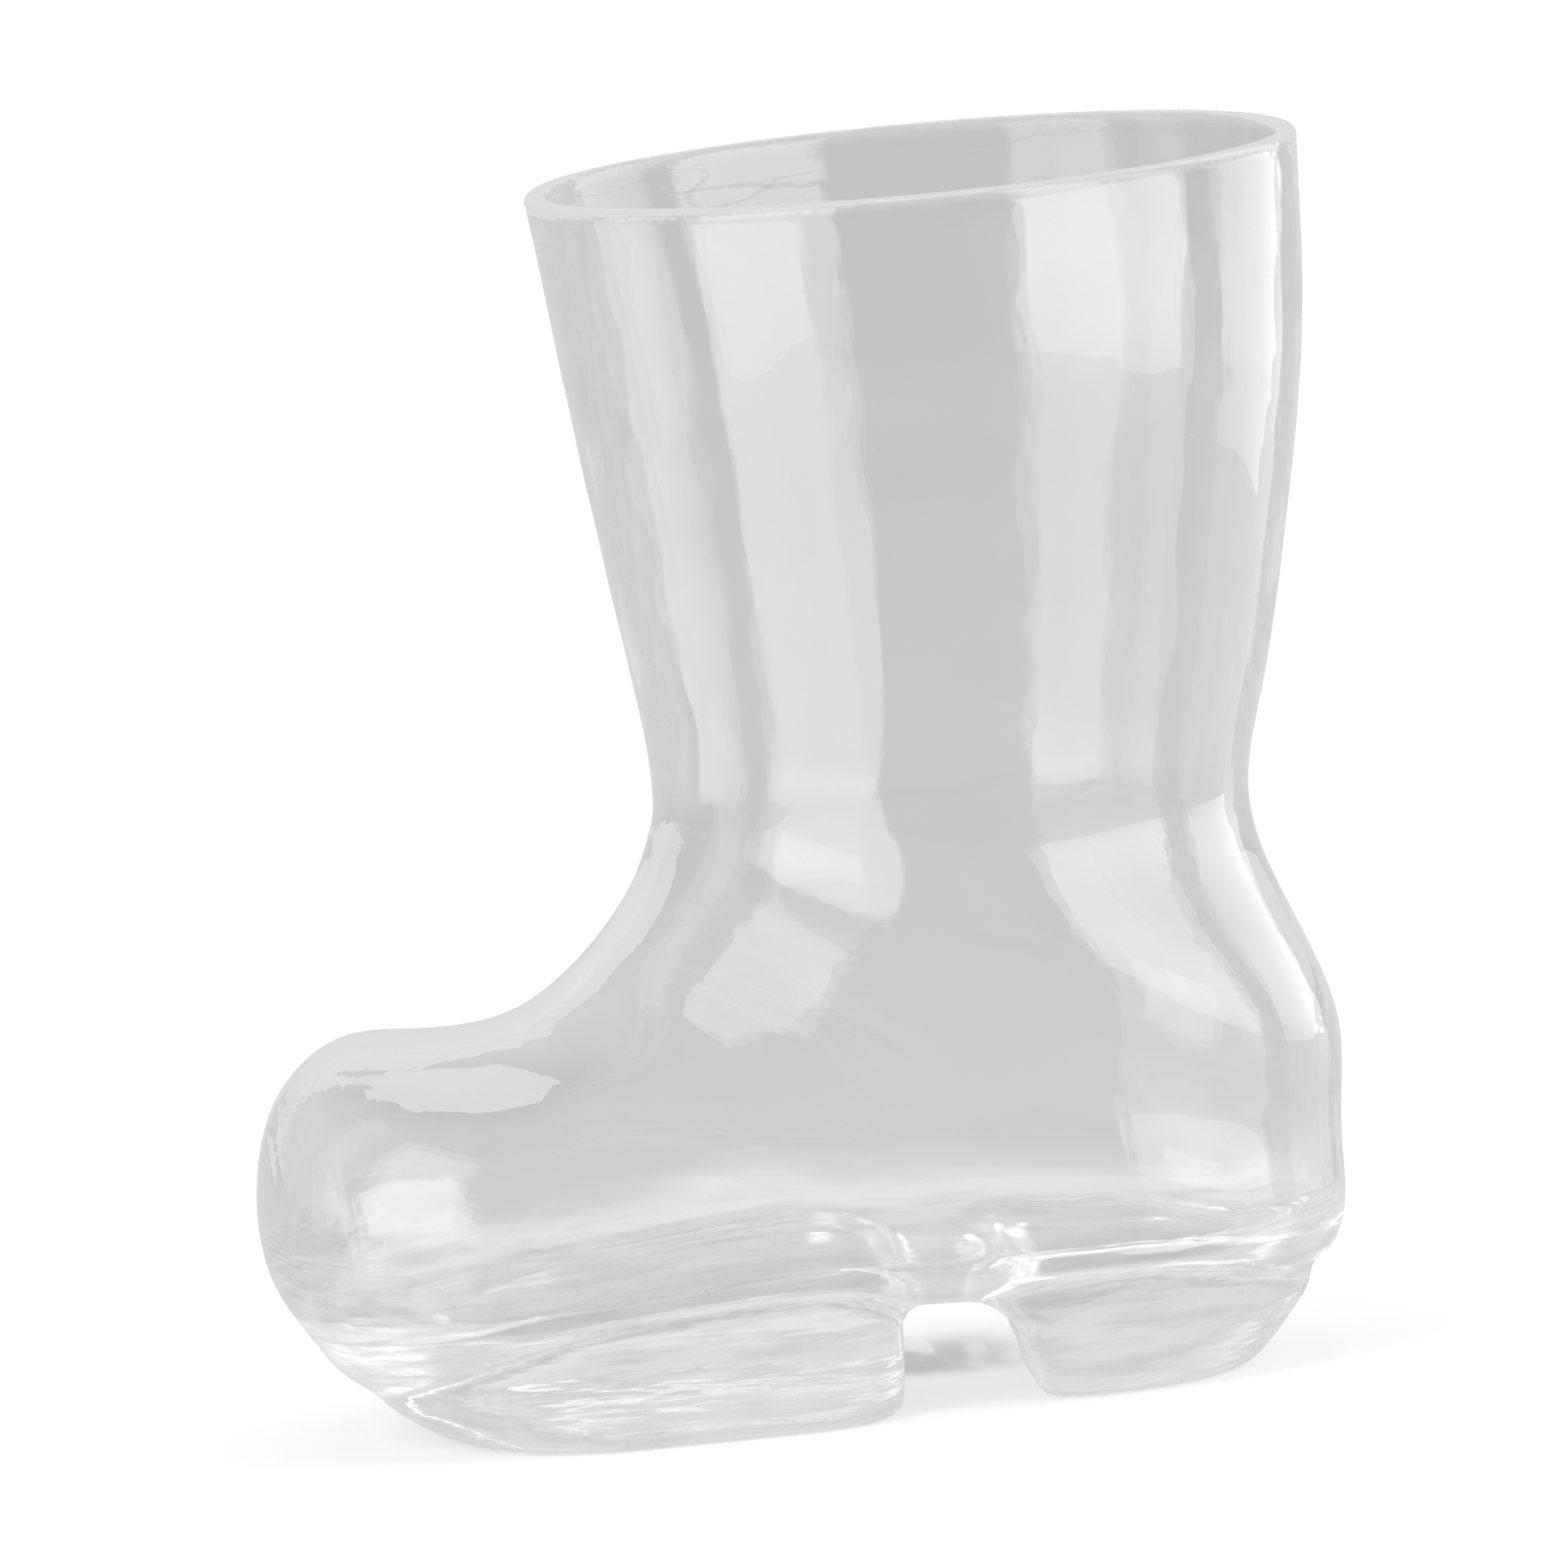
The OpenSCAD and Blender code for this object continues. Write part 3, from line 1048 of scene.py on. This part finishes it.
@dataclass(frozen=True)
class MattPaper:
    """Matt, uncoated white background paper under the glass.

    It gives the eye plain white with the soft shadow of the glass, and the pale grey that
    shows through the glass, with a painted pool of light at the glass's foot. Under the arch
    it has a painted, blotched shade, drawn in by place where thick glass would throw shade.
    Lengths are in metres.
    """

    colour: str = "#B4B4B3"
    camera_light: float = .66
    # Painted pool of light at the glass's foot, which only rays from the glass see
    painted_pool_light: float = .27
    pool_range: tuple = (.04, .2)
    near_light: float = .21
    far_light: float = .205
    far_range: tuple = (.6, 1.6)
    # Painted shade under the arch, drawn into the camera's white by place, with painted blotches
    arch_x: float = .0085
    painted_arch_shade: float = .3
    arch_aside: tuple = (.018, .006)
    arch_start: tuple = (.002, .014)
    arch_end: tuple = (.044, .024)
    blot_size: float = .005
    blot_stretch: float = .25
    blot_range: tuple = (.48, .64)
    blot_share: float = .45

    def light_in_glass(self, tree: bpy.types.NodeTree,
                       place: bpy.types.NodeSocket) -> bpy.types.NodeSocket:
        """Adds the light painted into the paper for the glass: a pale grey with a painted pool of
        light at its foot.

        Args:
            tree: Node tree of the paper.
            place: Socket with the place on the floor.

        Returns:
            Socket with the strength of that light.
        """
        away = add_node(tree, "ShaderNodeVectorMath", {"operation": "LENGTH"}, {0: place})
        pool = add_node(tree, "ShaderNodeMapRange", {"interpolation_type": "SMOOTHSTEP"},
                        {"Value": away.outputs["Value"], "From Min": self.pool_range[0],
                         "From Max": self.pool_range[1], "To Min": self.painted_pool_light, "To Max": 0.0})
        depth = add_node(tree, "ShaderNodeMapRange", {"interpolation_type": "SMOOTHSTEP"},
                         {"Value": away.outputs["Value"], "From Min": self.far_range[0],
                          "From Max": self.far_range[1], "To Min": self.near_light,
                          "To Max": self.far_light})
        total = add_node(tree, "ShaderNodeMath", {"operation": "ADD"},
                         {0: pool.outputs[0], 1: depth.outputs[0]})
        return total.outputs[0]

    def painted_shade_blots(self, tree: bpy.types.NodeTree,
              place: bpy.types.NodeSocket) -> bpy.types.NodeSocket:
        """Adds blotches to the painted shade, like those that waves in the glass leave in a cast
        shade.

        Args:
            tree: Node tree of the paper.
            place: Socket with the place on the floor.

        Returns:
            Socket that is 1 where the shade is full, and less in the blotches.
        """
        size = self.blot_size
        stretch = add_node(tree, "ShaderNodeMapping", inputs={
            "Vector": place, "Scale": (1 / size, self.blot_stretch / size, 1 / size)})
        spots = add_node(tree, "ShaderNodeTexNoise", inputs={
            "Vector": stretch.outputs[0], "Scale": 1.0, "Detail": 1.0})
        painted_shade_blots = add_node(tree, "ShaderNodeMapRange", {"interpolation_type": "SMOOTHSTEP"},
                         {"Value": spots.outputs[0], "From Min": self.blot_range[0],
                          "From Max": self.blot_range[1], "To Min": 1.0,
                          "To Max": self.blot_share})
        return painted_shade_blots.outputs[0]

    def painted_shade_under_arch(self, tree: bpy.types.NodeTree,
                         place: bpy.types.NodeSocket) -> bpy.types.NodeSocket:
        """Adds a painted shade under the arch, strongest in its middle, where the glass would throw
        shade.

        Args:
            tree: Node tree of the paper.
            place: Socket with the place on the floor.

        Returns:
            Socket with the light that is taken away.
        """
        axes = add_node(tree, "ShaderNodeSeparateXYZ", inputs={0: place})
        along = add_node(tree, "ShaderNodeMath", {"operation": "SUBTRACT"},
                         {0: axes.outputs["X"], 1: self.arch_x})
        aside = add_node(tree, "ShaderNodeMath", {"operation": "ABSOLUTE"}, {0: along.outputs[0]})
        under = add_node(tree, "ShaderNodeMapRange", {"interpolation_type": "SMOOTHSTEP"},
                         {"Value": aside.outputs[0], "From Min": self.arch_aside[0],
                          "From Max": self.arch_aside[1], "To Min": 0.0,
                          "To Max": self.painted_arch_shade})
        shade = under.outputs[0]
        for start, end in (self.arch_start, self.arch_end):
            fade = add_node(tree, "ShaderNodeMapRange", {"interpolation_type": "SMOOTHSTEP"},
                            {"Value": axes.outputs["Y"], "From Min": start, "From Max": end})
            shade = add_node(tree, "ShaderNodeMath", {"operation": "MULTIPLY"},
                             {0: shade, 1: fade.outputs[0]}).outputs[0]
        blotted = add_node(tree, "ShaderNodeMath", {"operation": "MULTIPLY"},
                           {0: shade, 1: self.painted_shade_blots(tree, place)})
        return blotted.outputs[0]

    def material(self) -> bpy.types.Material:
        """Builds the node material of the paper, which reads white to the camera.

        Returns:
            The new material.
        """
        material = bare_material("matt_paper")
        tree = material.node_tree
        seen = seen_by(tree)
        place = add_node(tree, "ShaderNodeNewGeometry").outputs["Position"]
        for_glass = add_node(tree, "ShaderNodeMath", {"operation": "MULTIPLY"},
                             {0: seen["glass"], 1: self.light_in_glass(tree, place)})
        # The camera's white, less the painted shade under the arch
        white = add_node(tree, "ShaderNodeMath", {"operation": "SUBTRACT"},
                         {0: self.camera_light, 1: self.painted_shade_under_arch(tree, place)})
        light = add_node(tree, "ShaderNodeMath", {"operation": "MULTIPLY_ADD"},
                         {0: seen["camera"], 1: white.outputs[0], 2: for_glass.outputs[0]})
        paper = add_node(tree, "ShaderNodeBsdfDiffuse", inputs={"Color": hex_linear(self.colour)})
        glow = add_node(tree, "ShaderNodeEmission", inputs={"Strength": light.outputs[0]})
        both = add_node(tree, "ShaderNodeAddShader",
                        inputs={0: paper.outputs[0], 1: glow.outputs[0]})
        add_node(tree, "ShaderNodeOutputMaterial", inputs={"Surface": both.outputs[0]})
        return material


@dataclass(frozen=True)
class LitBoard:
    """White mounting board with a torn edge, lit by itself, which shows in the glass alone.

    It gives the eye the long light stripes down the shaft and the bright patches on the toe
    and heel, with wavering edges. A dimmer band shows in the shaft, and a brighter one in the
    toe and heel. Lengths are in metres.
    """

    edge_scale: float = 26.0
    edge_detail: float = 4.0
    edge_wave: float = .13
    edge_soft: float = .01
    dim_share: float = .55
    dim_height: float = -.08
    dim_range: tuple = (.06, .13)
    hot_share: float = .3
    hot_height: float = .045
    hot_range: tuple = (.03, .1)
    rough_share: float = .16
    mirror_depth: float = .5

    def cover(self, tree: bpy.types.NodeTree, place: bpy.types.NodeSocket,
              across: bpy.types.NodeSocket, width: float) -> bpy.types.NodeSocket:
        """Marks the board between its torn edges.

        Args:
            tree: Node tree of the board.
            place: Socket with the place on the board.
            across: Socket with the place across the board.
            width: Width between the middles of the edges.

        Returns:
            Socket that is 1 on the board and fades to 0 past its edges.
        """
        uneven = add_node(tree, "ShaderNodeTexNoise", inputs={
            "Vector": place, "Scale": self.edge_scale, "Detail": self.edge_detail})
        out = add_node(tree, "ShaderNodeMath", {"operation": "ABSOLUTE"}, {0: across})
        edge = add_node(tree, "ShaderNodeMath", {"operation": "MULTIPLY_ADD"},
                        {0: uneven.outputs[0], 1: self.edge_wave, 2: out.outputs[0]})
        middle = width / 2 + self.edge_wave / 2
        cover = add_node(tree, "ShaderNodeMapRange", {"interpolation_type": "SMOOTHSTEP"},
                         {"Value": edge.outputs[0], "From Min": middle - self.edge_soft,
                          "From Max": middle + self.edge_soft, "To Min": 1.0, "To Max": 0.0})
        return cover.outputs[0]

    def band(self, tree: bpy.types.NodeTree, height: bpy.types.NodeSocket, middle: float,
             reach: tuple, levels: tuple) -> bpy.types.NodeSocket:
        """Adds a level band across the board with another strength than the rest.

        Args:
            tree: Node tree of the board.
            height: Socket with the height on the board.
            middle: Height of the middle of the band.
            reach: Distances from the middle where the band starts to fade and has faded.
            levels: Strength in the band, and past it.

        Returns:
            Socket with the strength.
        """
        off = add_node(tree, "ShaderNodeMath", {"operation": "SUBTRACT"}, {0: height, 1: middle})
        away = add_node(tree, "ShaderNodeMath", {"operation": "ABSOLUTE"}, {0: off.outputs[0]})
        band = add_node(tree, "ShaderNodeMapRange", {"interpolation_type": "SMOOTHSTEP"},
                        {"Value": away.outputs[0], "From Min": reach[0], "From Max": reach[1],
                         "To Min": levels[0], "To Max": levels[1]})
        return band.outputs[0]

    def share_of_rays(self, tree: bpy.types.NodeTree) -> dict:
        """Tells which rays see the board: mirrored ones, and blurred ones more weakly.

        Args:
            tree: Node tree of the board.

        Returns:
            Sockets named sharp and mirrored.
        """
        path = add_node(tree, "ShaderNodeLightPath")
        sharp = add_node(tree, "ShaderNodeMapRange", inputs={
            "Value": path.outputs["Is Singular Ray"], "To Min": self.rough_share, "To Max": 1.0})
        mirrored = add_node(tree, "ShaderNodeMath", {"operation": "GREATER_THAN"},
                            {0: path.outputs["Glossy Depth"], 1: self.mirror_depth})
        return {"sharp": sharp.outputs[0], "mirrored": mirrored.outputs[0]}

    def material(self, name: str, width: float, strength: float) -> bpy.types.Material:
        """Builds the node material of one board.

        Args:
            name: Name of the material.
            width: Width between the middles of the torn edges.
            strength: Brightness that it adds, where 1 is white.

        Returns:
            The new material.
        """
        material = bare_material(name)
        tree = material.node_tree
        place = add_node(tree, "ShaderNodeTexCoord").outputs["Object"]
        axes = add_node(tree, "ShaderNodeSeparateXYZ", inputs={0: place})
        rays = self.share_of_rays(tree)
        level = self.band(tree, axes.outputs["Z"], self.dim_height, self.dim_range,
                          (strength * self.dim_share, strength))
        hot = self.band(tree, axes.outputs["Z"], self.hot_height, self.hot_range,
                        (1 + self.hot_share, 1.0))
        cover = self.cover(tree, place, axes.outputs["X"], width)
        for share in (hot, rays["sharp"], rays["mirrored"], cover):
            level = add_node(tree, "ShaderNodeMath", {"operation": "MULTIPLY"},
                             {0: level, 1: share}).outputs[0]
        glow = add_node(tree, "ShaderNodeEmission", inputs={"Strength": level})
        clear = add_node(tree, "ShaderNodeBsdfTransparent")
        both = add_node(tree, "ShaderNodeAddShader",
                        inputs={0: clear.outputs[0], 1: glow.outputs[0]})
        add_node(tree, "ShaderNodeOutputMaterial", inputs={"Surface": both.outputs[0]})
        return material

    def reach(self, width: float) -> float:
        """Half of the width that the board needs for its torn edges."""
        return width / 2 + self.edge_soft + self.edge_wave


@dataclass(frozen=True)
class Card:
    """One upright board round the glass.

    The angle is in degrees round from the camera's side, positive towards the heel, the width
    is in metres, and a strength of 1 is white.
    """

    name: str
    angle: float
    width: float
    strength: float


@dataclass(frozen=True)
class Lamp:
    """One soft square lamp: its place in metres and its power in watts."""

    name: str
    place: tuple
    power: float


@dataclass(frozen=True)
class Studio:
    """Pale floor, soft light and the camera of the photograph.

    Lengths are in metres and angles in degrees. The photograph is 1932 pixels wide, and a
    pixel shows .0923 mm at the glass.
    """

    aim: tuple = (-.0002, 0, .0703)
    azimuth: float = -3
    elevation: float = 7
    roll: float = 5.3
    distance: float = 2.5
    photo_width: int = 1932
    pixel: float = .0923 * MM
    sensor_width: float = 36
    view_depth: float = 50
    plain_level: float = .7
    low_level: float = .72
    high_level: float = .84
    sky_range: tuple = (-.1, .8)
    floor_half: float = 4.0
    air_gap: float = .05 * MM
    card_distance: float = .4
    card_heights: tuple = (-.3, .7)
    cards: tuple = (Card("card_right", 55, .39, 1.75), Card("card_left", -53, .26, 1.2),
                    Card("card_left_back", -96, .13, .5), Card("card_right_back", 113, .26, .9))
    lamp_size: float = .6
    lamps: tuple = (Lamp("lamp_left", (-1.0, -1.0, 1.2), 8), Lamp("lamp_right", (1.2, -.6, 1.0), 6))

    def camera(self) -> None:
        """Sets the camera at the photograph's angle."""
        a, e, r = (math.radians(angle) for angle in (self.azimuth, self.elevation, self.roll))
        forward = Vector((-math.sin(a) * math.cos(e), math.cos(a) * math.cos(e), -math.sin(e)))
        right = Vector((math.cos(a), math.sin(a), 0))
        up = right.cross(forward)
        turned_right = right * math.cos(r) - up * math.sin(r)
        turned_up = right * math.sin(r) + up * math.cos(r)
        data = bpy.data.cameras.new("camera")
        data.sensor_width = self.sensor_width
        data.lens = data.sensor_width * self.distance / (self.photo_width * self.pixel)
        data.clip_end = self.view_depth
        camera = bpy.data.objects.new("camera", data)
        turn = Matrix((turned_right, turned_up, -forward)).transposed().to_4x4()
        place = Vector(self.aim) - forward * self.distance
        camera.matrix_world = Matrix.Translation(place) @ turn
        bpy.context.scene.collection.objects.link(camera)
        bpy.context.scene.camera = camera
        log.info("camera: %.0f mm lens", data.lens)

    def world(self) -> None:
        """Sets a world that is white to the camera, pale grey in the glass, and plain light."""
        world = bpy.data.worlds.new("studio")
        world.use_nodes = True
        bpy.context.scene.world = world
        tree = world.node_tree
        tree.nodes.clear()
        seen = seen_by(tree)
        coordinates = add_node(tree, "ShaderNodeTexCoord")
        direction = add_node(tree, "ShaderNodeSeparateXYZ",
                             inputs={0: coordinates.outputs["Generated"]})
        height = add_node(tree, "ShaderNodeMapRange", {"interpolation_type": "SMOOTHSTEP"},
                          {"Value": direction.outputs["Z"], "From Min": self.sky_range[0],
                           "From Max": self.sky_range[1], "To Min": self.low_level,
                           "To Max": self.high_level})
        # Sockets 2 and 3 are the values for a factor of 0 and of 1
        for_glass = add_node(tree, "ShaderNodeMix", {"data_type": "FLOAT"},
                             {0: seen["glass"], 2: self.plain_level, 3: height.outputs[0]})
        level = add_node(tree, "ShaderNodeMix", {"data_type": "FLOAT"},
                         {0: seen["camera"], 2: for_glass.outputs[0], 3: 1.0})
        back = add_node(tree, "ShaderNodeBackground",
                        inputs={"Color": hex_linear(WHITE), "Strength": level.outputs[0]})
        add_node(tree, "ShaderNodeOutputWorld", inputs={"Surface": back.outputs[0]})

    def plane(self, name: str, corners: list, material: bpy.types.Material) -> bpy.types.Object:
        """Builds a flat stage piece through four corners.

        Args:
            name: Name of the stage piece.
            corners: The four corners, in metres, in turn.
            material: Finish of the piece.

        Returns:
            The new object.
        """
        obj = place_mesh(name, corners, [(0, 1, 2, 3)])
        obj.data.materials.append(material)
        log.info("%s: stage", name)
        return obj

    def floor(self) -> None:
        """Lays the paper just below the glass, so that the two faces don't meet."""
        half, low = self.floor_half, -self.air_gap
        corners = [(-half, -half, low), (half, -half, low), (half, half, low), (-half, half, low)]
        floor = self.plane("floor", corners, MattPaper().material())
        floor.visible_glossy = False

    def card(self, card: Card) -> None:
        """Stands one board round the glass, turned towards it.

        Args:
            card: Name, angle, width and strength of the board.
        """
        board = LitBoard()
        reach = board.reach(card.width)
        low, high = self.card_heights
        corners = [(-reach, 0, low), (reach, 0, low), (reach, 0, high), (-reach, 0, high)]
        stand = self.plane(card.name, corners, board.material(card.name, card.width, card.strength))
        a = math.radians(card.angle)
        stand.location = Vector((math.sin(a), -math.cos(a), 0)) * self.card_distance
        stand.rotation_euler = (0, 0, a)
        stand.visible_camera = False
        stand.visible_diffuse = False
        stand.visible_shadow = False

    def lamp(self, lamp: Lamp) -> None:
        """Hangs one soft square lamp that points at the glass.

        Args:
            lamp: Name, place and power of the lamp.
        """
        data = bpy.data.lights.new(lamp.name, "AREA")
        data.size = self.lamp_size
        data.energy = lamp.power
        obj = bpy.data.objects.new(lamp.name, data)
        obj.location = lamp.place
        to_glass = Vector(self.aim) - Vector(lamp.place)
        obj.rotation_euler = to_glass.to_track_quat("-Z", "Y").to_euler()
        obj.visible_glossy = False
        obj.visible_transmission = False
        bpy.context.scene.collection.objects.link(obj)
        log.info("%s: %.0f W", lamp.name, lamp.power)

    def build(self) -> None:
        """Sets the whole studio."""
        bpy.context.scene.view_settings.view_transform = "Standard"
        self.camera()
        self.world()
        self.floor()
        for card in self.cards:
            self.card(card)
        for lamp in self.lamps:
            self.lamp(lamp)


def main() -> None:
    """Builds the glass, dresses it and sets the studio."""
    logging.basicConfig(level=logging.INFO, format="%(name)s: %(message)s")
    boot = BootShell(BootSizes(), BootShares(), BlownWaves(), tuple(cad_box))
    boot.dress(boot.build(), SodaLimeGlass().material())
    Studio().build()


if __name__ == "__main__":
    main()
